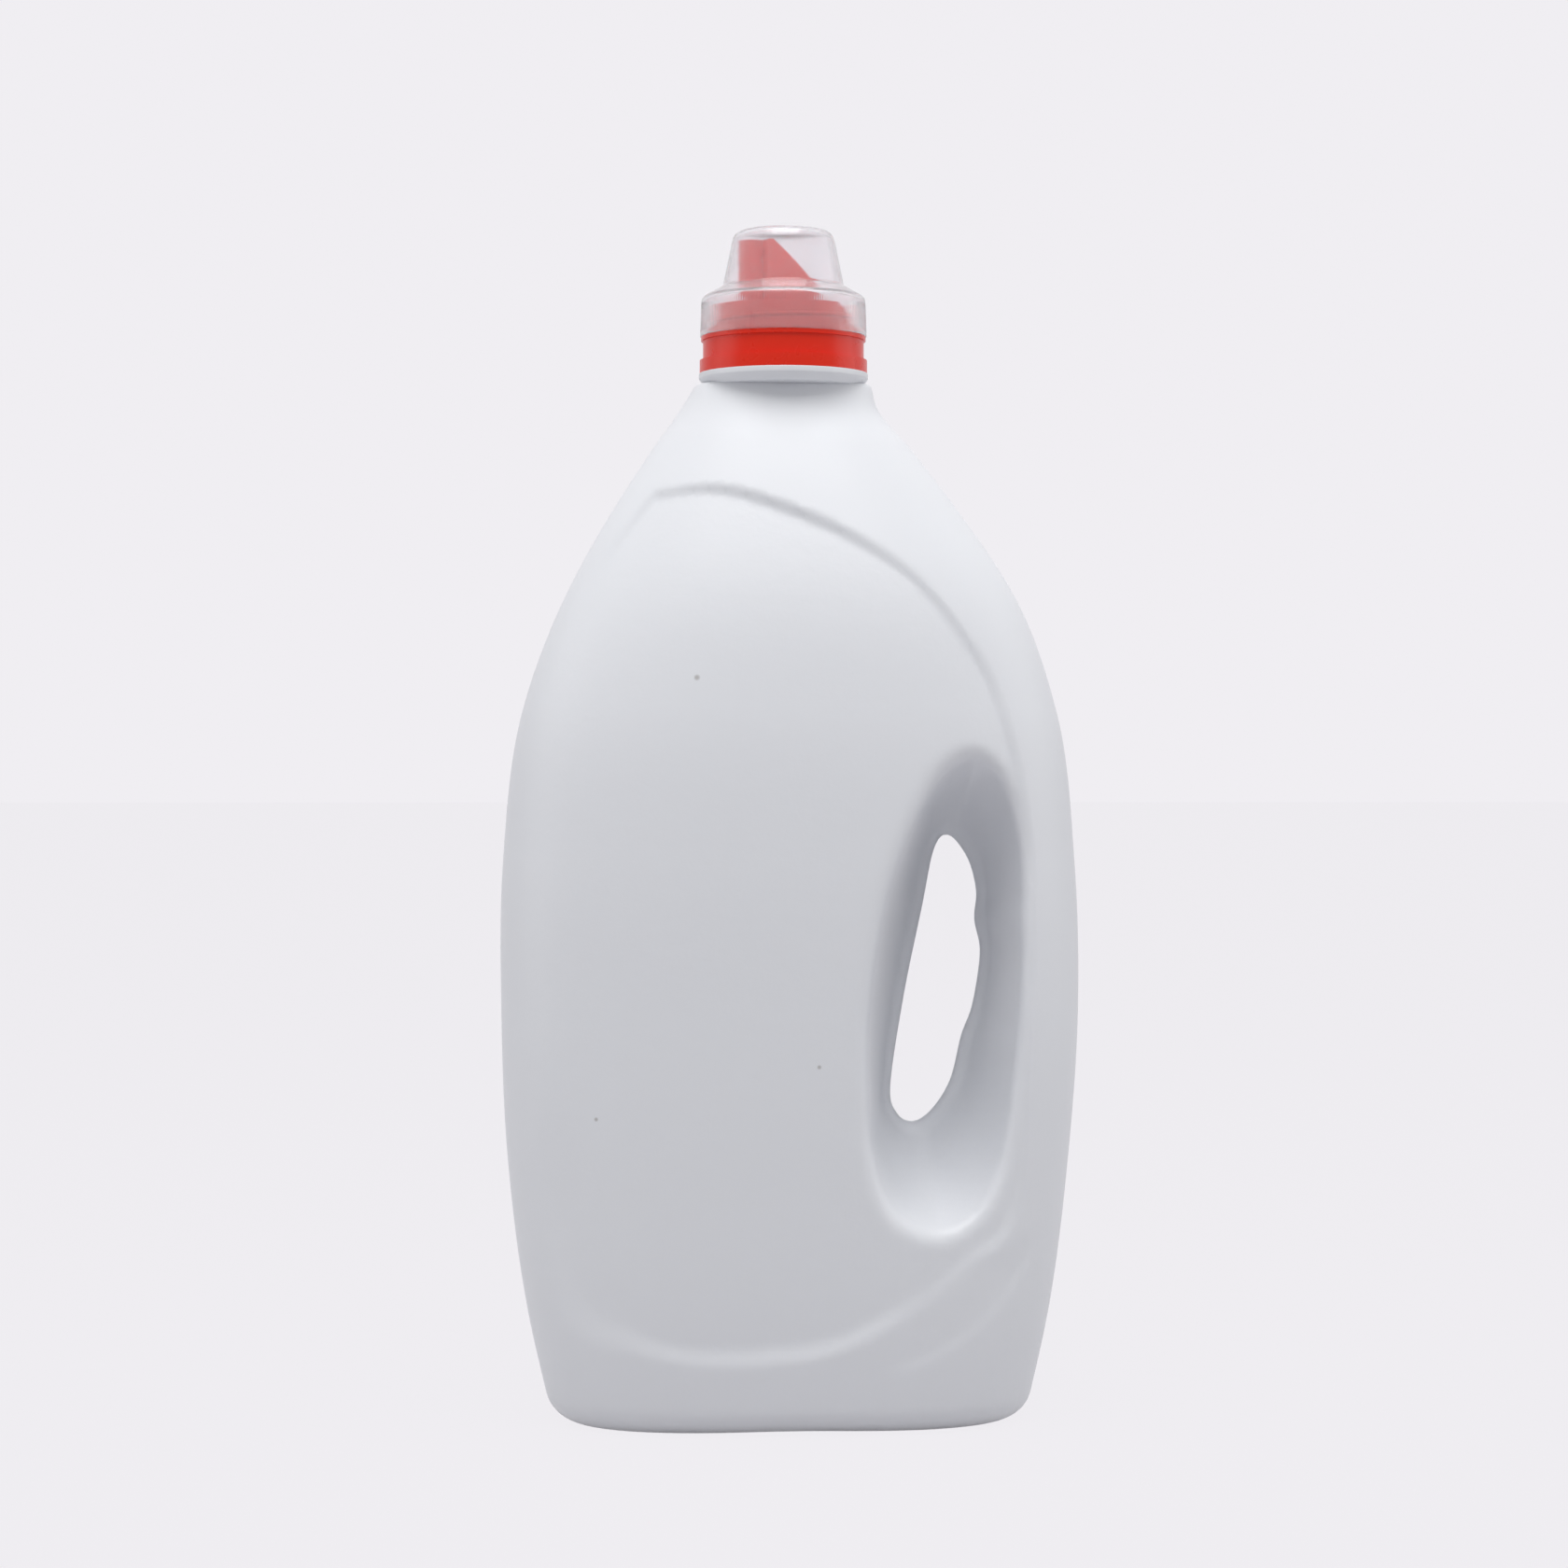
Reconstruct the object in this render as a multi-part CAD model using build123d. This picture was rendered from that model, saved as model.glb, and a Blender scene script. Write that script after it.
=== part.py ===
from build123d import *

import math
import os

# Laundry detergent bottle: a blown white bottle with a handle in its body,
# a push-fit pour spout moulded in one piece with its collar, and a clear dosing
# cap that screws on over the spout.
# Frame in millimetres: origin on the ground under the middle of the body,
# +Z up, +X towards the handle, the front label panel faces -Y.

# --- Driving dimensions of the bottle ---
body_width = 182.4
body_depth = 114.0
body_height = 326.0  # standing plane to the underside of the neck ring
wall = 1.6  # blown wall, measured level
base_round = 8.0
push_up_height = 4.0
push_up_margin = 17.0  # standing ring, from the outer edge to the raised middle

neck_offset = -2.0  # neck axis, measured from the middle of the body
neck_flat = 18.6  # half depth of the body just under the neck ring
neck_radius = 22.4
neck_wall = 2.1
neck_height = 22.6  # above the shoulder, up to the rim
ring_radius = 26.8
ring_height = 3.2
ring_floor = 1.4
throat_lip = 0.6  # ledge left between the body's inner wall and the throat
neck_bead = 1.1  # how far the snap bead stands out of the neck
neck_bead_top = 10.2  # below the rim
neck_bead_height = 2.4

# Finger window through the handle, and the hand recess around it.
handle_width = 30.5  # outer side of the handle to the widest point of the window
window_level = 146.0  # height of that point
pinch_land = 2.0  # flat web left around the window
label_depth = 1.1  # how far the label panel lies below the body's surface

# --- Driving dimensions of the pour spout ---
collar_band_radius = 26.55
collar_band_height = 4.3
collar_waist_radius = 25.5
collar_waist_height = 6.2
collar_bead_radius = 26.1
collar_bead_height = 1.3
collar_wall = 1.4
thread_wall_radius = 23.9
thread_wall = 1.3
deck_thickness = 1.6
collar_gap = 0.2  # collar above the neck ring
snap_gap = 0.15  # moulding on the neck, all round
snap_catch = 0.6  # how far the snap ring reaches under the neck bead
plug_depth = 12.0
plug_wall = 1.25
floor_thickness = 1.3
floor_tilt = 6.0  # degrees, so that drips run back to the drain hole
floor_level = 7.0  # below the rim
drain_radius = 2.4
spout_radius = 9.8
spout_offset = 2.6  # centre of the round channel, from the neck axis
lip_radius = 4.4
lip_offset = -9.9  # centre of the narrow pouring lip
spout_wall = 1.2
spout_height = 22.6  # lip above the rim
lip_length = 10.5  # level part of the lip's top, before it slants
spout_slant = 47.0  # degrees below level

# --- Driving dimensions of the dosing cap ---
cap_wall = 1.1
skirt_radius = 26.4
skirt_height = 12.4
skirt_taper = 0.45
shoulder_height = 3.8
cup_radius = 19.2  # at the foot of the cup
cup_top_radius = 15.6
cup_height = 17.5
cup_round = 4.5

# --- Sections of the body, from the ground to the neck ring ---
# Height, reach to the left, reach to the right and reach to the front are shares
# of the way from the neck to the full body; the last is the corner squareness.
body_sections = (
    (0.000, 0.744, 0.744, 0.714, 2.70),
    (0.104, 0.867, 0.857, 0.870, 2.60),
    (0.248, 0.966, 0.950, 0.966, 2.50),
    (0.393, 1.000, 1.000, 1.000, 2.45),
    (0.540, 0.990, 0.984, 0.984, 2.40),
    (0.684, 0.891, 0.898, 0.885, 2.35),
    (0.794, 0.676, 0.700, 0.703, 2.30),
    (0.883, 0.417, 0.408, 0.424, 2.25),
    (0.939, 0.226, 0.197, 0.219, 2.20),
    (0.975, 0.093, 0.050, 0.073, 2.15),
    (1.000, 0.015, 0.014, 0.000, 2.10),
)

# Finger window at the parting plane, from its widest point: across, up.
window_outline = (
    (0.0, 0.0),
    (-1.8, 10.5),
    (-1.2, 19.5),
    (-4.0, 30.0),
    (-10.0, 37.2),
    (-14.6, 33.0),
    (-18.6, 14.0),
    (-24.2, -13.0),
    (-28.6, -42.0),
    (-26.6, -51.0),
    (-21.5, -53.8),
    (-15.5, -50.0),
    (-9.5, -40.5),
    (-6.0, -26.5),
    (-2.4, -16.5),
)

# Hand recess where it meets the body's face, from the same point.
recess_outline = (
    (9.2, 7.0),
    (9.6, 36.0),
    (4.5, 54.5),
    (-5.8, 62.5),
    (-16.5, 57.0),
    (-25.5, 42.0),
    (-33.0, 22.0),
    (-37.2, 2.0),
    (-39.8, -20.0),
    (-39.9, -42.0),
    (-38.2, -60.0),
    (-31.5, -76.0),
    (-18.0, -82.8),
    (-5.0, -77.5),
    (3.2, -63.5),
    (6.8, -40.0),
    (8.2, -18.0),
)

# Label panel on the front and back: shares of the half width and the height.
panel_outline = (
    (-0.485, 0.884),
    (-0.270, 0.892),
    (-0.085, 0.878),
    (0.165, 0.846),
    (0.400, 0.804),
    (0.580, 0.742),
    (0.690, 0.678),
    (0.760, 0.560),
    (0.745, 0.380),
    (0.720, 0.210),
    (0.570, 0.165),
    (0.390, 0.127),
    (0.120, 0.087),
    (-0.120, 0.077),
    (-0.360, 0.077),
    (-0.570, 0.091),
    (-0.760, 0.122),
    (-0.850, 0.220),
    (-0.905, 0.380),
    (-0.905, 0.560),
    (-0.810, 0.715),
    (-0.670, 0.815),
)

# --- Levels and radii that follow from the values above ---
half_width = body_width / 2
half_depth = body_depth / 2
ring_top = body_height + ring_height
rim = body_height + neck_height
bore_radius = neck_radius - neck_wall
throat_radius = neck_flat - wall - throat_lip
window_edge = half_width - handle_width
web = 2 * wall
collar_bottom = ring_top + collar_gap
band_top = ring_top + collar_band_height
waist_top = band_top + collar_waist_height
bead_top = waist_top + collar_bead_height
deck_top = rim + deck_thickness
past = 1.0  # how far a cutter runs past the face it opens


def moved_out(points, distance, closed):
    """Offset a run of points to its right-hand side, with mitred corners."""
    count = len(points)
    result = []
    for index, (x, z) in enumerate(points):
        before = points[index - 1] if closed or index else points[index]
        after = points[(index + 1) % count] if closed or index < count - 1 else points[index]
        normals = []
        for (x0, z0), (x1, z1) in ((before, (x, z)), ((x, z), after)):
            length = math.hypot(x1 - x0, z1 - z0)
            if length:
                normals.append(((z1 - z0) / length, (x0 - x1) / length))
        (ax, az), (bx, bz) = normals[0], normals[-1]
        mitre = distance / (1 + ax * bx + az * bz)
        result.append((x + mitre * (ax + bx), z + mitre * (az + bz)))
    return result


def body_wire(section, inset, lift=0.0):
    """One level outline of the body: a superellipse, drawn in by inset."""
    height, left, right, front, squareness = section
    neck_left = neck_offset - ring_radius
    neck_right = neck_offset + ring_radius
    x_left = neck_left + left * (-half_width - neck_left) + inset
    x_right = neck_right + right * (half_width - neck_right) - inset
    reach = neck_flat + front * (half_depth - neck_flat) - inset
    middle = (x_left + x_right) / 2
    across = (x_right - x_left) / 2
    points = []
    for step in range(24):
        turn = math.tau * step / 24
        x = math.copysign(abs(math.cos(turn)) ** (2 / squareness), math.cos(turn))
        y = math.copysign(abs(math.sin(turn)) ** (2 / squareness), math.sin(turn))
        points.append(Vector(middle + across * x, reach * y, height * body_height + lift))
    return Wire([Edge.make_spline(points, periodic=True)])


def body_form(inset):
    """The body's smooth form, drawn in by inset on every side but its ends."""
    return Solid.make_loft([body_wire(section, inset) for section in body_sections])


def face_outline(points, y):
    """A closed smooth outline standing in the plane at y."""
    corners = [Vector(x, y, z) for x, z in points]
    return Wire([Edge.make_spline(corners, periodic=True)])


def at_window(points, grown):
    """Points measured from the window's widest point, grown outwards."""
    placed = [(window_edge + x, window_level + z) for x, z in points]
    return moved_out(placed, -grown, closed=True)


def finger_window():
    """Cutter for the finger window, right through the web."""
    outline = face_outline(at_window(window_outline, 0.0), -half_depth)
    return Solid.extrude(Face(outline), Vector(0, body_depth, 0))


def level_points(points, count):
    """Spread count points evenly by angle step along a closed smooth outline."""
    curve = Edge.make_spline([Vector(x, 0, z) for x, z in points], periodic=True)
    spots = [curve.position_at(step / count) for step in range(count)]
    return [(spot.X, spot.Z) for spot in spots]


def hand_recess(side, grown, inner_y):
    """Funnel from the body's face down to the web around the window."""
    outer_y = side * (half_depth + past)
    wide = level_points(at_window(recess_outline, grown), 24)
    narrow = level_points(at_window(window_outline, pinch_land + grown), 24)
    wires = [face_outline(wide, outer_y), face_outline(narrow, inner_y)]
    return Solid.make_loft(wires, ruled=True)


def label_recess(grown, depth):
    """The layer between the body's surface and the sunk label panels."""
    placed = [(half_width * x, body_height * z) for x, z in panel_outline]
    outline = face_outline(moved_out(placed, grown, closed=True), -half_depth - past)
    prism = Solid.extrude(Face(outline), Vector(0, body_depth + 2 * past, 0))
    return prism - body_form(depth)


def base_push_up(grown):
    """Raised middle of the base, which leaves a ring for the bottle to stand on."""
    foot = body_sections[0]
    low = body_wire(foot, push_up_margin - grown, lift=-past)
    high = body_wire(foot, push_up_margin + push_up_height - grown, push_up_height + grown)
    return Solid.make_loft([low, high], ruled=True)


def neck_part(radius, low, high):
    """A disc on the neck axis, from one level to another."""
    return Pos(neck_offset, 0, (low + high) / 2) * Cylinder(radius, high - low)


def lowest_edges(solid):
    """The edges of the solid's lowest face."""
    return solid.faces().sort_by(Axis.Z)[0].edges()


def bottle_outside():
    """Outer form of the bottle with its neck, recesses and window."""
    body = body_form(0.0)
    body = fillet(lowest_edges(body), base_round)
    body = body - label_recess(0.0, label_depth)
    for side in (-1, 1):
        body = body - hand_recess(side, 0.0, side * web / 2)
    body = body - finger_window() - base_push_up(0.0)
    bead_level = rim - neck_bead_top
    body = body + neck_part(ring_radius, body_height, ring_top)
    body = body + neck_part(neck_radius, ring_top - past, rim)
    bead = neck_part(neck_radius + neck_bead, bead_level - neck_bead_height, bead_level)
    return body + bead


def bottle_cavity():
    """Space inside the body, below the neck ring."""
    space = body_form(wall)
    room = Pos(0, 0, wall + body_height / 2) * Box(2 * body_width, 2 * body_depth, body_height)
    space = space & room
    space = fillet(lowest_edges(space), base_round - wall)
    space = space - label_recess(wall, label_depth + wall)
    for side in (-1, 1):
        space = space - hand_recess(side, wall, -side * wall / 2)
    return space - base_push_up(wall)


def make_bottle():
    """Blown bottle: handle, window, label panels and neck in one piece."""
    bottle = bottle_outside() - bottle_cavity()
    bottle = bottle - neck_part(throat_radius, body_height - past, rim)
    return bottle - neck_part(bore_radius, body_height + ring_floor, rim + past)


def turned(points):
    """Revolve an outline of radius and height around the neck axis."""
    corners = [Vector(radius, 0, height) for radius, height in points]
    profile = Face(Wire.make_polygon(corners, close=True))
    return Pos(neck_offset, 0, 0) * revolve(profile, Axis.Z, 360)


def spout_shape(shrunk, low, high):
    """Keyhole column of the spout: a round channel and a narrow lip beside it."""
    span = (low + high) / 2
    length = high - low
    column = Pos(neck_offset + spout_offset, 0, span) * Cylinder(spout_radius - shrunk, length)
    lip = Pos(neck_offset + lip_offset, 0, span) * Cylinder(lip_radius - shrunk, length)
    return column + lip


def spout_slot(low, high):
    """Opening that joins the round channel to the lip."""
    length = spout_offset - lip_offset
    middle = neck_offset + (spout_offset + lip_offset) / 2
    return Pos(middle, 0, (low + high) / 2) * Box(length, lip_radius, high - low)


def slant_cut(top):
    """Everything above the spout's level lip and its slanted mouth."""
    start = neck_offset + lip_offset - lip_radius + lip_length
    run = 2 * spout_radius + lip_radius
    drop = run * math.tan(math.radians(spout_slant))
    corners = [
        Vector(start, -ring_radius, top),
        Vector(start + run, -ring_radius, top - drop),
        Vector(start + run, -ring_radius, top + drop),
        Vector(start, -ring_radius, top + drop),
    ]
    return Solid.extrude(Face(Wire.make_polygon(corners, close=True)), Vector(0, 2 * ring_radius, 0))


def collar_profile():
    """Section of the collar, the thread wall, the deck and the plug skirt."""
    collar_inside = collar_waist_radius - collar_wall
    thread_inside = thread_wall_radius - thread_wall
    bead_low = rim - neck_bead_top - neck_bead_height
    bead_high = rim - neck_bead_top
    snap_radius = neck_radius + neck_bead - snap_catch
    plug_outside = bore_radius - snap_gap
    plug_inside = plug_outside - plug_wall
    return (
        (collar_inside, collar_bottom),
        (collar_band_radius, collar_bottom),
        (collar_band_radius, band_top),
        (collar_waist_radius, band_top),
        (collar_waist_radius, waist_top),
        (collar_bead_radius, waist_top),
        (collar_bead_radius, bead_top),
        (thread_wall_radius, bead_top),
        (thread_wall_radius, deck_top),
        (plug_inside, deck_top),
        (plug_inside, rim - plug_depth),
        (plug_outside, rim - plug_depth),
        (plug_outside, rim),
        (thread_inside, rim),
        (thread_inside, bead_high + snap_catch),
        (collar_inside, bead_high + snap_gap),
        (collar_inside, bead_low - snap_gap),
        (snap_radius, bead_low - 2 * snap_gap),
        (snap_radius, bead_low - 2 * snap_gap - snap_catch),
        (collar_inside, bead_low - 3 * snap_catch),
    )


def make_pour_spout():
    """Collar, thread wall, drain-back well and spout, moulded in one piece."""
    lip_top = rim + spout_height
    foot = rim - floor_level
    well_radius = bore_radius - snap_gap - plug_wall / 2
    slab = Pos(neck_offset, 0, foot) * Rot(0, floor_tilt, 0)
    slab = slab * Box(3 * bore_radius, 3 * bore_radius, floor_thickness)
    floor = slab & neck_part(well_radius, rim - plug_depth, rim)
    fitment = turned(collar_profile()) + floor
    fitment = fitment + spout_shape(0.0, foot, lip_top)
    fitment = fitment - spout_shape(spout_wall, rim - plug_depth - past, lip_top + past)
    fitment = fitment - spout_slot(rim - plug_depth - past, lip_top + past)
    fitment = fitment - slant_cut(lip_top)
    drain_at = (spout_offset + spout_radius + well_radius) / 2
    drain = Pos(neck_offset + drain_at, 0, foot) * Cylinder(drain_radius, plug_depth)
    return fitment - drain


def cap_profile():
    """Outer corners of the cap's section, from its rim to its top."""
    skirt_top = bead_top + skirt_height
    cup_foot = skirt_top + shoulder_height
    return (
        (skirt_radius, bead_top),
        (skirt_radius - skirt_taper, skirt_top),
        (cup_radius, cup_foot),
        (cup_top_radius, cup_foot + cup_height),
        (0.0, cup_foot + cup_height),
    )


def cap_solid(corners, start, rounds):
    """Solid of revolution under a rounded profile, open to the level start."""
    foot = [Vector(0, 0, start), Vector(corners[0][0], 0, start)]
    points = foot + [Vector(radius, 0, height) for radius, height in corners[1:]]
    profile = FilletPolyline(*points[1:], radius=rounds)
    axis_line = Polyline(points[-1], points[0], points[1])
    face = Face(Wire(profile.edges() + axis_line.edges()))
    return Pos(neck_offset, 0, 0) * revolve(face, Axis.Z, 360)


def make_dosing_cap():
    """Clear cap: grip skirt, shoulder and measuring cup, open at its rim."""
    outer = cap_profile()
    inner = moved_out(outer, -cap_wall, closed=False)
    inner[-1] = (0.0, inner[-1][1])
    outside = cap_solid(outer, bead_top, (2.5, 1.2, cup_round))
    inside = cap_solid(inner, bead_top - past, (1.6, 1.8, cup_round - cap_wall))
    return outside - inside


def main():
    os.makedirs("parts", exist_ok=True)
    pieces = {
        "bottle": make_bottle(),
        "pour_spout": make_pour_spout(),
        "dosing_cap": make_dosing_cap(),
    }
    for name, piece in pieces.items():
        export_step(piece, f"parts/{name}.step")


main()
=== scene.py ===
import math

import bpy
import numpy as np
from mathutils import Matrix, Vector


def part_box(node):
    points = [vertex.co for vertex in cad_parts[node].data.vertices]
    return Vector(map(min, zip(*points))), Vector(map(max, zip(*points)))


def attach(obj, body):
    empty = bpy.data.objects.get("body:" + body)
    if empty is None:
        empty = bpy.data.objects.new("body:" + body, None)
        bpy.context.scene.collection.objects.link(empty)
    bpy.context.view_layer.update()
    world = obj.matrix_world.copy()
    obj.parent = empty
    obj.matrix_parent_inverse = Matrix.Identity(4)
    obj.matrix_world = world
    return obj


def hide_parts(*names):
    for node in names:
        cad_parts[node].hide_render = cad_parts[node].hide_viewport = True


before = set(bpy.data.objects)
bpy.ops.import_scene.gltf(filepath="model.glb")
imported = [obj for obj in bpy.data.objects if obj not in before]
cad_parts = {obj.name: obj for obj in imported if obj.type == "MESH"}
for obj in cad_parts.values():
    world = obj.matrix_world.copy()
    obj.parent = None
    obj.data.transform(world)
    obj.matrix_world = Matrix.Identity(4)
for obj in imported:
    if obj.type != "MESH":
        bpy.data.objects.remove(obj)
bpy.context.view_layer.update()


# ---------------------------------------------------------------------------
# The bottle: one piece of white polyethylene, blown in a two-part mould. Its
# handle is blown with it, around a finger window where the walls are pinched
# into one web. The label panels are sunk into the front and the back.

bottle_low, bottle_high = (np.array(corner) * 1000 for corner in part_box("bottle"))
body_top = 326.0  # millimetres in this section, turned to metres at the end
neck_axis = -2.0
base_round = 8.0
push_up = (4.0, 17.0)  # height of the raised middle, width of the ring around it
web_half = 1.6
window_widest = (60.7, 146.0)
panel_depth = 1.3
blow_cell = 1.6  # size of the mesh that the form is drawn on
web_round = 3.0  # radii where the surfaces of the bottle meet
mouth_round = 4.5
window_round = 1.6
top_round = 1.2
ring_slope = 5.0  # width over which the base rises inside the standing ring

# Level sections: height, left, right, half depth, squareness of the corners.
sections = np.array((
    (0.0, -75.2, 74.2, 46.0, 2.70),
    (33.9, -82.9, 81.7, 52.0, 2.60),
    (80.8, -89.1, 87.9, 55.7, 2.50),
    (128.1, -91.2, 91.2, 57.0, 2.45),
    (176.0, -90.6, 90.1, 56.4, 2.40),
    (223.0, -84.4, 84.4, 52.6, 2.35),
    (258.8, -71.0, 71.3, 45.6, 2.30),
    (287.9, -54.8, 51.9, 34.9, 2.25),
    (306.1, -42.9, 37.9, 27.0, 2.20),
    (317.9, -34.6, 28.1, 21.4, 2.15),
    (326.0, -29.7, 25.7, 18.6, 2.10),
))

# Outlines on the parting plane, from the widest point of the window.
window_points = (
    (0.0, 0.0), (-1.8, 10.5), (-1.2, 19.5), (-4.0, 30.0), (-10.0, 37.2),
    (-14.6, 33.0), (-18.6, 14.0), (-24.2, -13.0), (-28.6, -42.0), (-26.6, -51.0),
    (-21.5, -53.8), (-15.5, -50.0), (-9.5, -40.5), (-6.0, -26.5), (-2.4, -16.5),
)
recess_points = (
    (9.2, 7.0), (9.6, 36.0), (4.5, 54.5), (-5.8, 62.5), (-16.5, 57.0),
    (-25.5, 42.0), (-33.0, 22.0), (-37.2, 2.0), (-39.8, -20.0), (-39.9, -42.0),
    (-38.2, -60.0), (-31.5, -76.0), (-18.0, -82.8), (-5.0, -77.5), (3.2, -63.5),
    (6.8, -40.0), (8.2, -18.0),
)
panel_points = (
    (-46.0, 286.5), (-40.0, 289.6), (-24.5, 290.6), (-7.8, 286.2), (15.3, 276.3),
    (36.5, 262.0), (52.9, 241.9), (62.9, 221.0), (70.5, 182.6), (69.5, 124.0),
    (66.0, 68.5), (51.8, 53.8), (35.6, 41.5), (11.3, 28.9), (-11.0, 25.3),
    (-32.8, 25.1), (-52.0, 29.7), (-69.2, 38.5), (-78.5, 71.7), (-84.0, 124.0),
    (-84.0, 164.9), (-77.0, 225.0), (-63.0, 262.0),
)


def smooth_outline(points, start=(0.0, 0.0), steps=8):
    """A closed curve through the points, drawn as a fine run of short sides."""
    corner = np.array(points) + np.array(start)
    before, after = np.roll(corner, 1, 0), np.roll(corner, -1, 0)
    beyond = np.roll(corner, -2, 0)
    runs = []
    for t in np.arange(steps) / steps:
        runs.append(0.5 * (
            2 * corner + t * (after - before)
            + t * t * (2 * before - 5 * corner + 4 * after - beyond)
            + t ** 3 * (3 * corner - before - 3 * after + beyond)
        ))
    return np.stack(runs, 1).reshape(-1, 2)


def distance_to(outline, x, z):
    """Distance to a closed outline, negative inside it."""
    shape = x.shape
    x, z = x.ravel(), z.ravel()
    nearest = np.full(x.shape, 1e9)
    inside = np.zeros(x.shape, bool)
    for (ax, az), (bx, bz) in zip(outline, np.roll(outline, -1, 0)):
        ex, ez = bx - ax, bz - az
        along = np.clip(((x - ax) * ex + (z - az) * ez) / (ex * ex + ez * ez), 0, 1)
        nearest = np.minimum(nearest, (x - ax - along * ex) ** 2 + (z - az - along * ez) ** 2)
        crosses = ((az > z) != (bz > z)) & (x < ax + (z - az) * ex / (ez if ez else 1e-9))
        inside ^= crosses
    distance = np.sqrt(nearest)
    return np.where(inside, -distance, distance).reshape(shape)


def ease(value):
    """A smooth step from 0 to 1."""
    value = np.clip(value, 0, 1)
    return value * value * (3 - 2 * value)


def round_max(a, b, radius):
    """The larger of two distances, with the corner between them rounded."""
    overlap = np.clip(radius - np.abs(a - b), 0, None)
    return np.maximum(a, b) + overlap * overlap / (4 * radius)


def section_curves():
    """Each column of the sections as a smooth curve over the height."""
    height = sections[:, 0]
    fine = np.linspace(0, body_top, 400)
    columns = []
    for column in sections[:, 1:].T:
        slope = np.gradient(column, height)
        spot = np.clip(np.searchsorted(height, fine) - 1, 0, len(height) - 2)
        step = height[spot + 1] - height[spot]
        t = (fine - height[spot]) / step
        columns.append(
            (1 + 2 * t) * (1 - t) ** 2 * column[spot] + t * (1 - t) ** 2 * step * slope[spot]
            + t * t * (3 - 2 * t) * column[spot + 1] + t * t * (t - 1) * step * slope[spot + 1]
        )
    return fine, columns


level, section_columns = section_curves()
window_outline = smooth_outline(window_points, window_widest)
recess_outline = smooth_outline(recess_points, window_widest)
panel_outline = smooth_outline(panel_points)


def plan_fields(x, z):
    """What depends only on the place across the front: outlines and masks."""
    return {
        "window": distance_to(window_outline, x, z),
        "recess": distance_to(recess_outline, x, z),
        "panel": distance_to(panel_outline, x, z),
    }


def blown_form(x, y, z, plan):
    """Distance to the bottle's skin, negative in the plastic and the inside."""
    left, right, reach, square = (np.interp(z, level, column) for column in section_columns)
    u = np.abs(x - (left + right) / 2) / ((right - left) / 2)
    v = np.abs(y) / reach
    spread = (u ** square + v ** square + 1e-9) ** (1 / square)
    radius = np.hypot(x - (left + right) / 2, y) + 1e-6
    skin = (spread - 1) * radius / spread
    lean = np.clip(np.hypot(u, v * 0.75), 0.6, 1.0)
    skin = skin * lean
    # The label panel is sunk, with a wider step where the mould is softer.
    softer_low = 3.0 * ease((90 - z) / 60)
    softer_left = 6.0 * ease((-x - 40) / 25) * ease((285 - z) / 30)
    step_width = 3.6 + softer_low + softer_left
    sunk = ease(0.5 - plan["panel"] / step_width)
    side_fade = 1 - 0.8 * ease((-x - 62) / 18) * ease((z - 60) / 60)
    skin = skin + panel_depth * sunk * side_fade
    # A second, fainter step runs round the foot of the handle.
    foot_arc = np.hypot(x - 14.0, z - 84.0) - 65.0
    foot_step = ease(0.5 - foot_arc / 4.0) * ease((x - 24) / 12) * ease((62 - z) / 14)
    skin = skin + 0.5 * foot_step * (1 - sunk)
    # Hand recess: a funnel from the skin down to the web round the window.
    depth = np.clip((np.abs(y) - web_half) / (0.82 * reach), 0, 1.3)
    mouth = depth ** 0.7
    funnel = (1 - mouth) * (plan["window"] - 2.0) + mouth * plan["recess"]
    funnel = round_max(funnel, web_half - np.abs(y), web_round)
    skin = round_max(skin, -funnel, mouth_round)
    skin = round_max(skin, -plan["window"], window_round)
    # Base: a rounded edge, a flat standing ring and a raised middle.
    ring_inside = ease((-skin - push_up[1]) / ring_slope)
    ground = push_up[0] * ring_inside - z
    corner_a = np.maximum(skin + base_round, 0)
    corner_b = np.maximum(ground + base_round, 0)
    rounded = np.hypot(corner_a, corner_b) - base_round
    closed = np.where((corner_a > 0) & (corner_b > 0), rounded, np.maximum(skin, ground))
    return round_max(closed, z - body_top, top_round)


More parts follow.
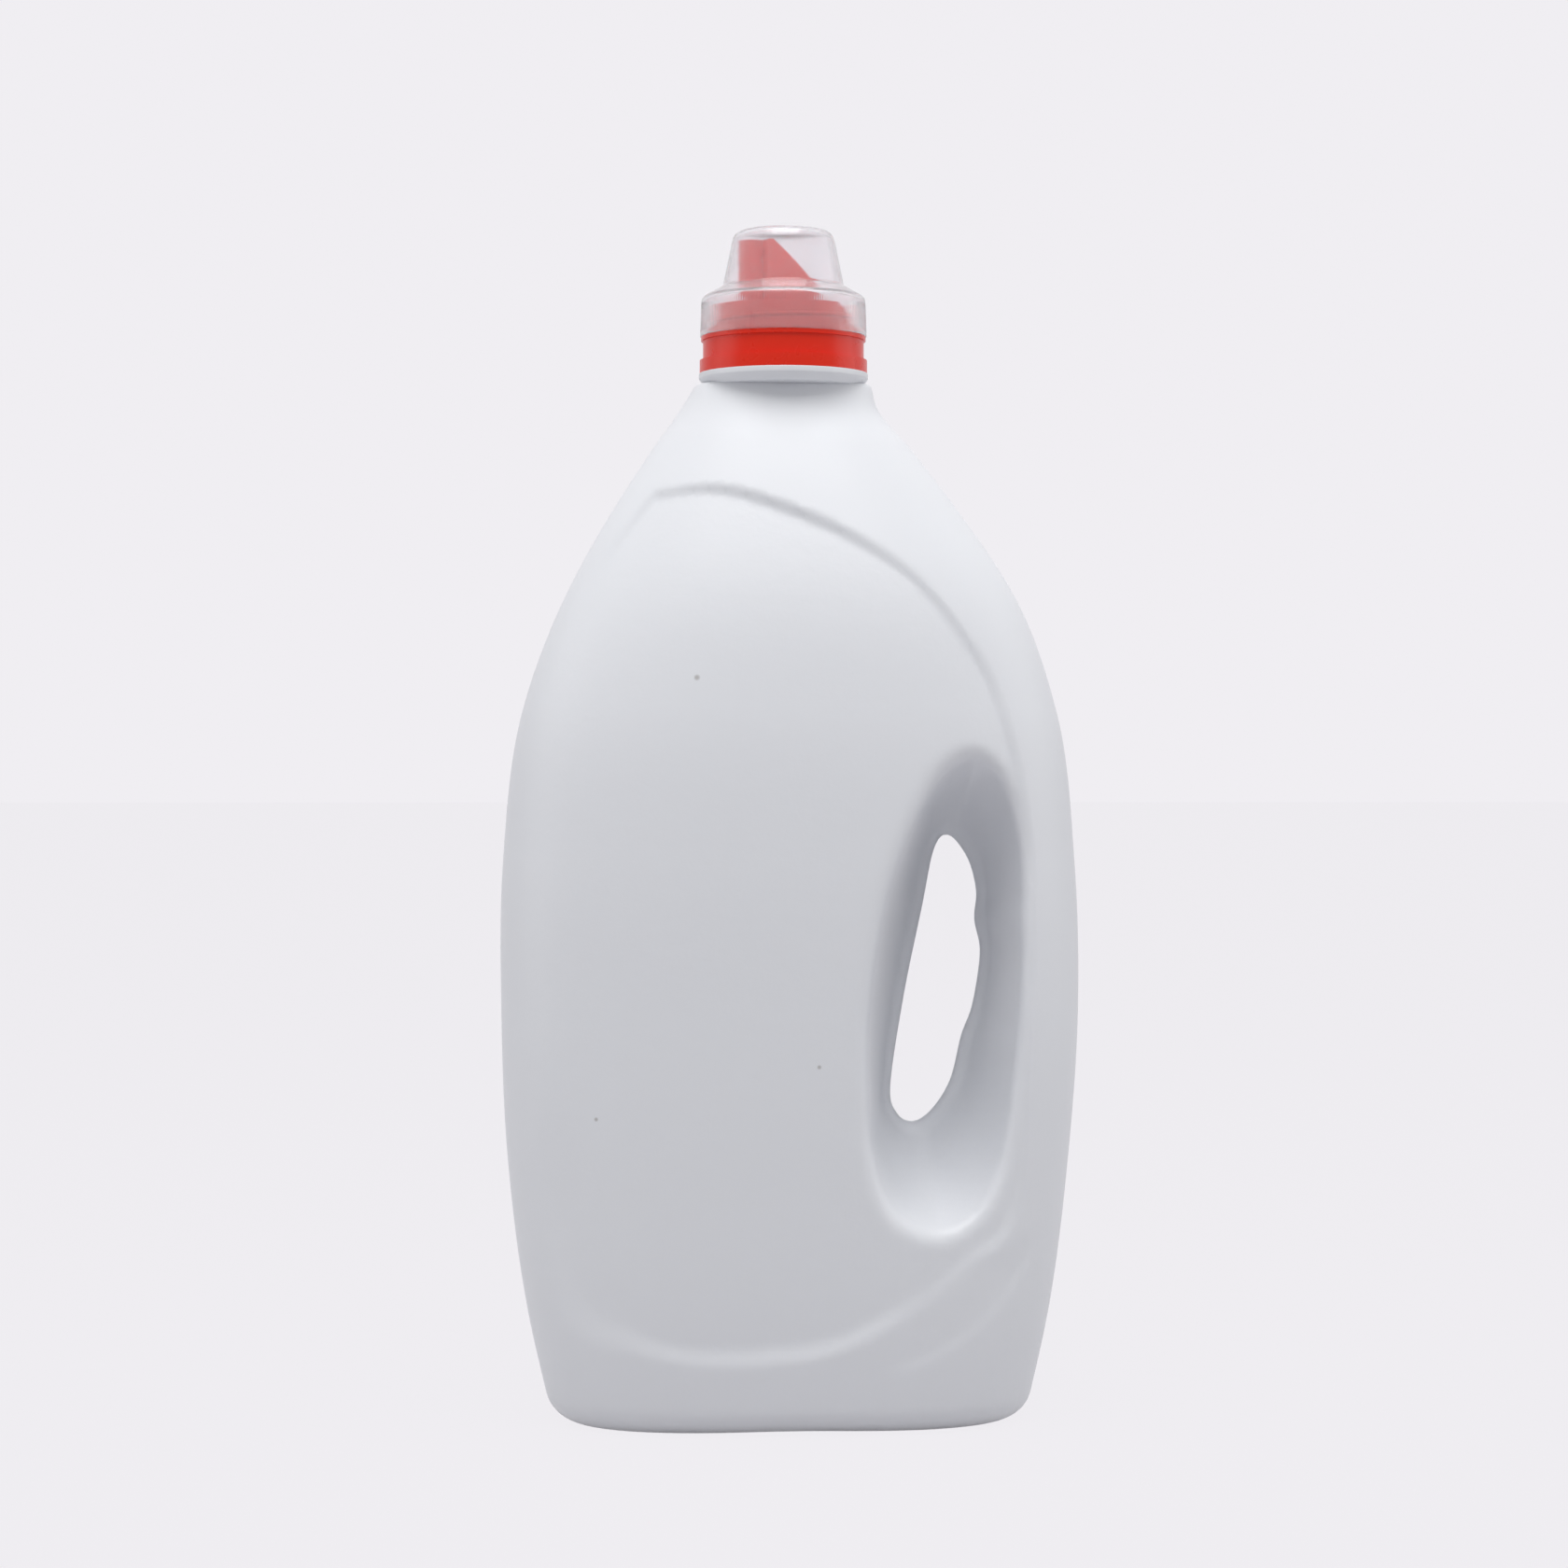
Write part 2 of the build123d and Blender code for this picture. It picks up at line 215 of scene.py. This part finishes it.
def skin_mesh(cell):
    """Draws the form on a grid of cells: one point in each cell that it crosses."""
    low = np.array((bottle_low[0] - 3, -60.0, -3.0))
    high = np.array((bottle_high[0] + 3, 60.0, body_top + 3))
    count = [int(n) for n in np.ceil((high - low) / cell)]
    axes = [low[i] + cell * np.arange(count[i] + 1) for i in range(3)]
    flat_x, flat_z = np.meshgrid(axes[0], axes[2], indexing="ij")
    plan = {name: field[:, None, :] for name, field in plan_fields(flat_x, flat_z).items()}
    x, y, z = axes[0][:, None, None], axes[1][None, :, None], axes[2][None, None, :]
    value = blown_form(x, y, np.broadcast_to(z, (1, 1, count[2] + 1)), plan)
    value = np.broadcast_to(value, tuple(n + 1 for n in count))
    total = np.zeros(count + [3])
    hits = np.zeros(count)
    for axis in range(3):
        a = np.moveaxis(value, axis, 0)
        cross = (a[:-1] < 0) != (a[1:] < 0)
        share = np.where(cross, a[:-1] / np.where(cross, a[:-1] - a[1:], 1), 0)
        others = [i for i in range(3) if i != axis]
        for di in (0, 1):
            for dj in (0, 1):
                part_cross = cross[:, di:di + cross.shape[1] - 1, dj:dj + cross.shape[2] - 1]
                part_share = share[:, di:di + cross.shape[1] - 1, dj:dj + cross.shape[2] - 1]
                back_cross = np.moveaxis(part_cross, 0, axis)
                hits += back_cross
                total[..., axis] += np.moveaxis(part_share, 0, axis)
                total[..., others[0]] += di * back_cross
                total[..., others[1]] += dj * back_cross
    used = hits > 0
    number = np.full(count, -1)
    number[used] = np.arange(used.sum())
    corner = np.argwhere(used)
    points = low + cell * (corner + total[used] / hits[used][:, None])
    faces = []
    for axis in range(3):
        a, b = [(1, 2), (2, 0), (0, 1)][axis]
        near = [slice(None)] * 3
        far = [slice(None)] * 3
        near[axis], far[axis] = slice(0, -1), slice(1, None)
        first, second = value[tuple(near)] < 0, value[tuple(far)] < 0
        inner = [slice(None)] * 3
        inner[a] = inner[b] = slice(1, -1)
        for flip, cross in ((False, first & ~second), (True, ~first & second)):
            spot = np.argwhere(cross[tuple(inner)])
            spot[:, a] += 1
            spot[:, b] += 1
            quad = []
            for da, db in ((0, 0), (-1, 0), (-1, -1), (0, -1)):
                cellspot = spot.copy()
                cellspot[:, a] += da
                cellspot[:, b] += db
                quad.append(number[cellspot[:, 0], cellspot[:, 1], cellspot[:, 2]])
            quad = np.stack(quad, 1)
            faces.append(quad[:, ::-1] if flip else quad)
    return points, np.concatenate(faces)


def value_at(points):
    """The form's distance at loose points."""
    x, y, z = points.T
    return blown_form(x, y, z, plan_fields(x, z))


def settle(points, rounds):
    """Slides the points along the slope of the form until they lie on it."""
    small = 0.05
    for _ in range(rounds):
        value = value_at(points)
        slope = np.stack([
            (value_at(points + small * axis) - value_at(points - small * axis)) / (2 * small)
            for axis in np.eye(3)
        ], 1)
        move = value[:, None] * slope / np.clip((slope ** 2).sum(1), 0.05, None)[:, None]
        points = points - np.clip(move, -1.0, 1.0)
    return points


def turned_shell(outline, turns, centre):
    """Points and quads of a closed outline turned round an upright axis."""
    angle = np.arange(turns) * math.tau / turns
    rim = np.array(outline)
    points = np.stack([
        centre + np.outer(np.cos(angle), rim[:, 0]),
        np.outer(np.sin(angle), rim[:, 0]),
        np.broadcast_to(rim[:, 1], (turns, len(rim))),
    ], -1).reshape(-1, 3)
    a = np.arange(turns)[:, None] * len(rim) + np.arange(len(rim))[None]
    b = np.roll(a, -1, 0)
    quads = np.stack([a, b, np.roll(b, -1, 1), np.roll(a, -1, 1)], -1).reshape(-1, 4)
    return points, quads


def rounded_corners(corners, radii, steps=4):
    """A closed outline whose corners are rounded, each by its own radius."""
    result = []
    count = len(corners)
    for index, radius in enumerate(radii):
        spot = np.array(corners[index])
        back = np.array(corners[index - 1]) - spot
        ahead = np.array(corners[(index + 1) % count]) - spot
        back, ahead = back / np.hypot(*back), ahead / np.hypot(*ahead)
        if not radius:
            result.append(spot)
            continue
        half = math.acos(max(-1, min(1, float(back @ ahead)))) / 2
        reach = radius / math.tan(half)
        start, end = spot + back * reach, spot + ahead * reach
        for t in np.linspace(0, 1, steps + 1):
            bow = (1 - t) ** 2 * start + 2 * t * (1 - t) * spot + t * t * end
            result.append(bow)
    return result


def new_piece(name, shells, material):
    """A smooth mesh object from shells of points and faces, in millimetres."""
    points, faces, first = [], [], 0
    for shell_points, shell_faces in shells:
        points.append(shell_points)
        faces.append(shell_faces + first)
        first += len(shell_points)
    mesh = bpy.data.meshes.new(name)
    mesh.from_pydata((np.concatenate(points) / 1000).tolist(), [], np.concatenate(faces).tolist())
    mesh.validate()
    mesh.polygons.foreach_set("use_smooth", [True] * len(mesh.polygons))
    mesh.materials.append(material)
    piece = bpy.data.objects.new(name, mesh)
    bpy.context.scene.collection.objects.link(piece)
    return piece


def plastic(name, colour, roughness):
    """A new moulded plastic: its node tree and its main shader."""
    material = bpy.data.materials.new(name)
    material.use_nodes = True
    tree = material.node_tree
    shader = tree.nodes["Principled BSDF"]
    shader.inputs["Base Color"].default_value = (*colour, 1)
    shader.inputs["Roughness"].default_value = roughness
    return material, tree, shader


def add_node(tree, kind, **inputs):
    """A node with its inputs set by name, or linked where a socket is given."""
    node = tree.nodes.new(kind)
    for name, value in inputs.items():
        socket = node.inputs[name.replace("_", " ")]
        if isinstance(value, bpy.types.NodeSocket):
            tree.links.new(value, socket)
        else:
            socket.default_value = value
    return node


def white_polyethylene():
    """Blown white plastic: blasted label panel, faint flow lines, a few specks."""
    white = (0.79, 0.80, 0.83)
    material, tree, shader = plastic("white_polyethylene", white, 0.42)
    shader.inputs["Subsurface Weight"].default_value = 0.12
    shader.inputs["Subsurface Radius"].default_value = (1.0, 0.95, 0.9)
    shader.inputs["Subsurface Scale"].default_value = 0.004
    place = add_node(tree, "ShaderNodeTexCoord").outputs["Object"]
    grain = add_node(tree, "ShaderNodeTexNoise", Vector=place, Scale=900.0, Detail=2.0)
    pebble = add_node(tree, "ShaderNodeTexNoise", Vector=place, Scale=260.0, Detail=3.0)
    cloud = add_node(tree, "ShaderNodeTexNoise", Vector=place, Scale=14.0, Detail=2.0)
    flow_place = add_node(tree, "ShaderNodeMapping", Vector=place, Scale=(1.0, 1.0, 0.04))
    flow = add_node(
        tree, "ShaderNodeTexNoise", Vector=flow_place.outputs[0], Scale=160.0, Detail=1.0
    )
    mask = add_node(tree, "ShaderNodeAttribute")
    mask.attribute_name = "panel"
    height = add_node(tree, "ShaderNodeMath")
    height.operation = "MULTIPLY"
    tree.links.new(pebble.outputs[0], height.inputs[0])
    tree.links.new(mask.outputs["Fac"], height.inputs[1])
    both = add_node(tree, "ShaderNodeMath")
    both.operation = "MULTIPLY_ADD"
    tree.links.new(grain.outputs[0], both.inputs[0])
    both.inputs[1].default_value = 0.22
    tree.links.new(height.outputs[0], both.inputs[2])
    lines = add_node(tree, "ShaderNodeMath")
    lines.operation = "MULTIPLY_ADD"
    tree.links.new(flow.outputs[0], lines.inputs[0])
    lines.inputs[1].default_value = 0.35
    tree.links.new(both.outputs[0], lines.inputs[2])
    bump = add_node(tree, "ShaderNodeBump", Strength=0.22, Distance=0.0003, Height=lines.outputs[0])
    tree.links.new(bump.outputs[0], shader.inputs["Normal"])
    gloss = add_node(tree, "ShaderNodeMapRange", Value=cloud.outputs[0])
    gloss.inputs["To Min"].default_value = 0.36
    gloss.inputs["To Max"].default_value = 0.5
    tree.links.new(gloss.outputs[0], shader.inputs["Roughness"])
    colour = None
    specks = settle(np.array(((-32.1, -48.3, 232.0), (4.8, -55.5, 113.6), (-62.9, -45.4, 97.3))), 4)
    for speck, size in zip(specks / 1000, (0.0007, 0.0005, 0.0005)):
        apart = add_node(tree, "ShaderNodeVectorMath")
        apart.operation = "DISTANCE"
        tree.links.new(place, apart.inputs[0])
        apart.inputs[1].default_value = tuple(speck)
        spot = add_node(tree, "ShaderNodeMapRange", Value=apart.outputs["Value"])
        spot.inputs["From Min"].default_value = size * 0.6
        spot.inputs["From Max"].default_value = size * 1.6
        spot.inputs["To Min"].default_value = 0.55
        spot.inputs["To Max"].default_value = 0.0
        mix = tree.nodes.new("ShaderNodeMix")
        mix.data_type = "RGBA"
        tree.links.new(spot.outputs[0], mix.inputs["Factor"])
        if colour is None:
            mix.inputs[6].default_value = (*white, 1)
        else:
            tree.links.new(colour, mix.inputs[6])
        mix.inputs[7].default_value = (0.28, 0.25, 0.22, 1)
        colour = mix.outputs[2]
    tree.links.new(colour, shader.inputs["Base Color"])
    return material


neck_outline = rounded_corners(
    ((16.4, 324.4), (24.5, 325.2), (26.8, 327.6), (26.8, 329.35), (22.4, 329.35),
     (22.4, 336.2), (23.5, 336.6), (23.5, 338.4), (22.4, 338.9), (22.4, 348.6),
     (20.3, 348.6), (20.3, 327.4), (16.4, 327.4)),
    (0, 1.5, 0.6, 0.3, 0.3, 0, 0.3, 0.3, 0, 0.5, 0.5, 0, 0),
)
skin_points, skin_faces = skin_mesh(blow_cell)
skin_points = settle(skin_points, 2)
neck_points, neck_faces = turned_shell(neck_outline, 128, neck_axis)
blown_bottle = new_piece(
    "blown_bottle", [(skin_points, skin_faces), (neck_points, neck_faces)], white_polyethylene()
)
panel_mask = ease(0.5 - distance_to(panel_outline, skin_points[:, 0], skin_points[:, 2]) / 6.0)
panel_mask = np.concatenate([panel_mask, np.zeros(len(neck_points))])
panel_layer = blown_bottle.data.attributes.new("panel", "FLOAT", "POINT")
panel_layer.data.foreach_set("value", panel_mask)
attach(blown_bottle, "bottle_body")
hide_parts("bottle")


# ---------------------------------------------------------------------------
# The pour spout: red polypropylene, moulded in one piece with its collar, and
# snapped over the bead of the neck. The thread for the cap runs round its wall.

def red_polypropylene():
    """Glossy red moulding, with the faint waves of a filled part."""
    material, tree, shader = plastic("red_polypropylene", (0.78, 0.020, 0.002), 0.3)
    shader.inputs["Specular IOR Level"].default_value = 0.3
    shader.inputs["Subsurface Weight"].default_value = 0.08
    shader.inputs["Subsurface Radius"].default_value = (1.0, 0.25, 0.1)
    shader.inputs["Subsurface Scale"].default_value = 0.002
    place = add_node(tree, "ShaderNodeTexCoord").outputs["Object"]
    wave = add_node(tree, "ShaderNodeTexNoise", Vector=place, Scale=180.0, Detail=2.0)
    bump = add_node(tree, "ShaderNodeBump", Strength=0.03, Distance=0.0001, Height=wave.outputs[0])
    tree.links.new(bump.outputs[0], shader.inputs["Normal"])
    gloss = add_node(tree, "ShaderNodeMapRange", Value=wave.outputs[0])
    gloss.inputs["To Min"].default_value = 0.22
    gloss.inputs["To Max"].default_value = 0.36
    tree.links.new(gloss.outputs[0], shader.inputs["Roughness"])
    return material


red_plastic = red_polypropylene()
spout_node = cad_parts["pour_spout"]
spout_node.data.materials.clear()
spout_node.data.materials.append(red_plastic)


def thread_ridge(name, radius, height, low, rise, turns, material):
    """A rounded ridge that climbs round a wall as a right-handed helix."""
    steps = int(96 * turns)
    share = np.linspace(0, 1, steps + 1)
    angle = math.tau * turns * share
    rises = np.sin(np.clip(share * 12, 0, 1) * math.pi / 2)
    falls = np.sin(np.clip((1 - share) * 12, 0, 1) * math.pi / 2)
    swell = rises * falls
    ring = []
    for across, up in ((-0.3, -0.9), (0.55, -0.62), (0.85, 0.0), (0.55, 0.45), (-0.3, 0.6)):
        reach = radius + height * across * np.where(across > 0, swell, 1)
        level_up = low + rise * turns * share + up * (0.25 + 0.75 * swell)
        ring.append(np.stack(
            [neck_axis + reach * np.cos(angle), reach * np.sin(angle), level_up], 1
        ))
    points = np.stack(ring, 1).reshape(-1, 3)
    sides = len(ring)
    quads = []
    for step in range(steps):
        for side in range(sides):
            here, there = step * sides + side, step * sides + (side + 1) % sides
            quads.append((here, here + sides, there + sides, there))
    ends = [tuple(range(sides)), tuple(steps * sides + side for side in reversed(range(sides)))]
    mesh = bpy.data.meshes.new(name)
    mesh.from_pydata((points / 1000).tolist(), [], quads + ends)
    mesh.polygons.foreach_set("use_smooth", [True] * len(mesh.polygons))
    mesh.materials.append(material)
    piece = bpy.data.objects.new(name, mesh)
    bpy.context.scene.collection.objects.link(piece)
    return piece


spout_thread = thread_ridge(
    "spout_thread", radius=23.9, height=0.9, low=343.2, rise=3.6, turns=1.2, material=red_plastic
)
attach(spout_thread, "bottle_body")


# ---------------------------------------------------------------------------
# The dosing cap: clear polypropylene with a milky cast, moulded in one piece.
# Fine upright ribs round the skirt give grip, and the cup above measures a dose.

rib_count = 200
rib_height = 0.16
cap_rim = 341.0
skirt_radius = 26.4
skirt_slope = 0.0363  # how much narrower the skirt grows for each unit of height


def clear_polypropylene():
    """Clear plastic with a milky cast and a little haze."""
    material, tree, shader = plastic("clear_polypropylene", (0.99, 0.98, 1.0), 0.12)
    shader.inputs["Transmission Weight"].default_value = 0.9
    shader.inputs["IOR"].default_value = 1.45
    place = add_node(tree, "ShaderNodeTexCoord").outputs["Object"]
    haze = add_node(tree, "ShaderNodeTexNoise", Vector=place, Scale=220.0, Detail=2.0)
    bump = add_node(tree, "ShaderNodeBump", Strength=0.06, Distance=0.0002, Height=haze.outputs[0])
    tree.links.new(bump.outputs[0], shader.inputs["Normal"])
    gloss = add_node(tree, "ShaderNodeMapRange", Value=haze.outputs[0])
    gloss.inputs["To Min"].default_value = 0.1
    gloss.inputs["To Max"].default_value = 0.2
    tree.links.new(gloss.outputs[0], shader.inputs["Roughness"])
    return material


def cap_outline():
    """The wall's section, from the rim up the outside and down the inside."""
    outer = rounded_corners(
        ((26.4, 341.0), (25.95, 353.4), (19.2, 357.2), (15.6, 374.7), (0.02, 374.7)),
        (0.25, 2.5, 1.2, 4.2, 0), steps=6,
    )
    inner = rounded_corners(
        ((0.02, 373.6), (14.7, 373.6), (18.2, 356.5), (24.87, 352.7), (25.3, 341.0)),
        (0, 3.2, 1.8, 1.6, 0.25), steps=6,
    )
    return outer, inner


def cap_shell():
    """The cap turned as one closed wall, its skirt drawn out into fine ribs."""
    outer, inner = cap_outline()
    outer = [point for point in outer if point[0] <= 26.401]
    levels = np.linspace(342.2, 351.6, 9)
    skirt = [(skirt_radius - skirt_slope * (level_up - cap_rim), level_up) for level_up in levels]
    lower = [(26.2, 341.0), (26.4, 341.25), (26.37, 341.8)]
    upper = [tuple(point) for point in outer if point[1] > 352.0 or point[0] < 25]
    run = lower + skirt + upper + [tuple(point) for point in inner[:-1]] + [(25.4, 341.0)]
    turns = rib_count * 4
    points, quads = turned_shell(run, turns, neck_axis)
    grid = points.reshape(turns, len(run), 3)
    angle = np.arange(turns) * math.tau / turns
    wave = 0.5 + 0.5 * np.cos(angle * rib_count)
    for row, (radius, level_up) in enumerate(run):
        if skirt[0][1] < level_up < skirt[-1][1] and radius > 25.8:
            grid[:, row, 0] += np.cos(angle) * rib_height * (wave - 1)
            grid[:, row, 1] += np.sin(angle) * rib_height * (wave - 1)
    return grid.reshape(-1, 3), quads


clear_plastic = clear_polypropylene()
dosing_cup = new_piece("dosing_cup", [cap_shell()], clear_plastic)
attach(dosing_cup, "cap")
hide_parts("dosing_cap")


# ---------------------------------------------------------------------------
# The studio: a pale floor that runs on into a pale backdrop, soft light from
# above and in front, and a camera level with the upper part of the body.

backdrop_colour = (0.871, 0.855, 0.887)
floor_colour = (0.60, 0.59, 0.61)


def backdrop_rays(tree):
    """1 for the rays that should meet the plain backdrop, 0 for the rest."""
    path = add_node(tree, "ShaderNodeLightPath")
    shiny = add_node(tree, "ShaderNodeMath")
    shiny.operation = "MAXIMUM"
    tree.links.new(path.outputs["Is Glossy Ray"], shiny.inputs[0])
    tree.links.new(path.outputs["Is Transmission Ray"], shiny.inputs[1])
    seen = add_node(tree, "ShaderNodeMath")
    seen.operation = "MAXIMUM"
    tree.links.new(path.outputs["Is Camera Ray"], seen.inputs[0])
    tree.links.new(shiny.outputs[0], seen.inputs[1])
    return seen.outputs[0]


def studio_floor():
    """A wide floor that shows the backdrop's colour and keeps the shadow."""
    half = 40.0
    mesh = bpy.data.meshes.new("studio_floor")
    corners = [(-half, -half, 0), (half, -half, 0), (half, half, 0), (-half, half, 0)]
    mesh.from_pydata(corners, [], [(0, 1, 2, 3)])
    material = bpy.data.materials.new("studio_floor")
    material.use_nodes = True
    tree = material.node_tree
    tree.nodes.clear()
    matt = add_node(tree, "ShaderNodeBsdfDiffuse", Color=(*floor_colour, 1))
    glow = add_node(tree, "ShaderNodeEmission", Color=(*backdrop_colour, 1), Strength=1.0)
    seen = add_node(tree, "ShaderNodeMath")
    seen.operation = "MULTIPLY"
    tree.links.new(backdrop_rays(tree), seen.inputs[0])
    seen.inputs[1].default_value = 0.97
    mix = add_node(tree, "ShaderNodeMixShader", Fac=seen.outputs[0])
    tree.links.new(matt.outputs[0], mix.inputs[1])
    tree.links.new(glow.outputs[0], mix.inputs[2])
    out = tree.nodes.new("ShaderNodeOutputMaterial")
    tree.links.new(mix.outputs[0], out.inputs["Surface"])
    mesh.materials.append(material)
    floor = bpy.data.objects.new("studio_floor", mesh)
    bpy.context.scene.collection.objects.link(floor)
    return floor


def studio_world():
    """The backdrop's colour to the camera, a dimmer even light to the bottle."""
    world = bpy.data.worlds.new("studio")
    world.use_nodes = True
    tree = world.node_tree
    tree.nodes.clear()
    seen_light = add_node(tree, "ShaderNodeBackground", Color=(*backdrop_colour, 1), Strength=1.0)
    soft_light = add_node(tree, "ShaderNodeBackground", Color=(0.97, 0.985, 1.0, 1), Strength=0.4)
    mix = add_node(tree, "ShaderNodeMixShader", Fac=backdrop_rays(tree))
    tree.links.new(soft_light.outputs[0], mix.inputs[1])
    tree.links.new(seen_light.outputs[0], mix.inputs[2])
    out = tree.nodes.new("ShaderNodeOutputWorld")
    tree.links.new(mix.outputs[0], out.inputs["Surface"])
    bpy.context.scene.world = world


def soft_box(name, place, aim, size, power):
    """A square soft light at a place, aimed at a point."""
    light = bpy.data.lights.new(name, "AREA")
    light.shape = "SQUARE"
    light.size = size
    light.energy = power
    lamp = bpy.data.objects.new(name, light)
    lamp.location = place
    way = np.array(aim) - np.array(place)
    lamp.rotation_euler = (
        math.atan2(math.hypot(way[0], way[1]), -way[2]), 0, math.atan2(way[1], way[0]) - math.pi / 2
    )
    bpy.context.scene.collection.objects.link(lamp)


def studio_camera(turn, distance, height, across, lens):
    """A level camera turned round the bottle's axis."""
    data = bpy.data.cameras.new("camera")
    data.lens = lens
    data.sensor_width = 36.0
    camera = bpy.data.objects.new("camera", data)
    angle = math.radians(turn)
    camera.location = (across + distance * math.sin(angle), -distance * math.cos(angle), height)
    camera.rotation_euler = (math.pi / 2, 0, angle)
    bpy.context.scene.collection.objects.link(camera)
    bpy.context.scene.camera = camera


studio_floor()
studio_world()
soft_box("top_light", place=(0.0, -0.45, 1.6), aim=(0, 0, 0.15), size=1.2, power=20.0)
for name, side in (("left_light", -1.5), ("right_light", 1.5)):
    soft_box(name, place=(side, 0.1, 0.5), aim=(0, 0, 0.2), size=1.0, power=3.0)
studio_camera(turn=-4.3, distance=1.199, height=0.1994, across=-0.0018, lens=86.8)
bpy.context.scene.view_settings.view_transform = "Standard"
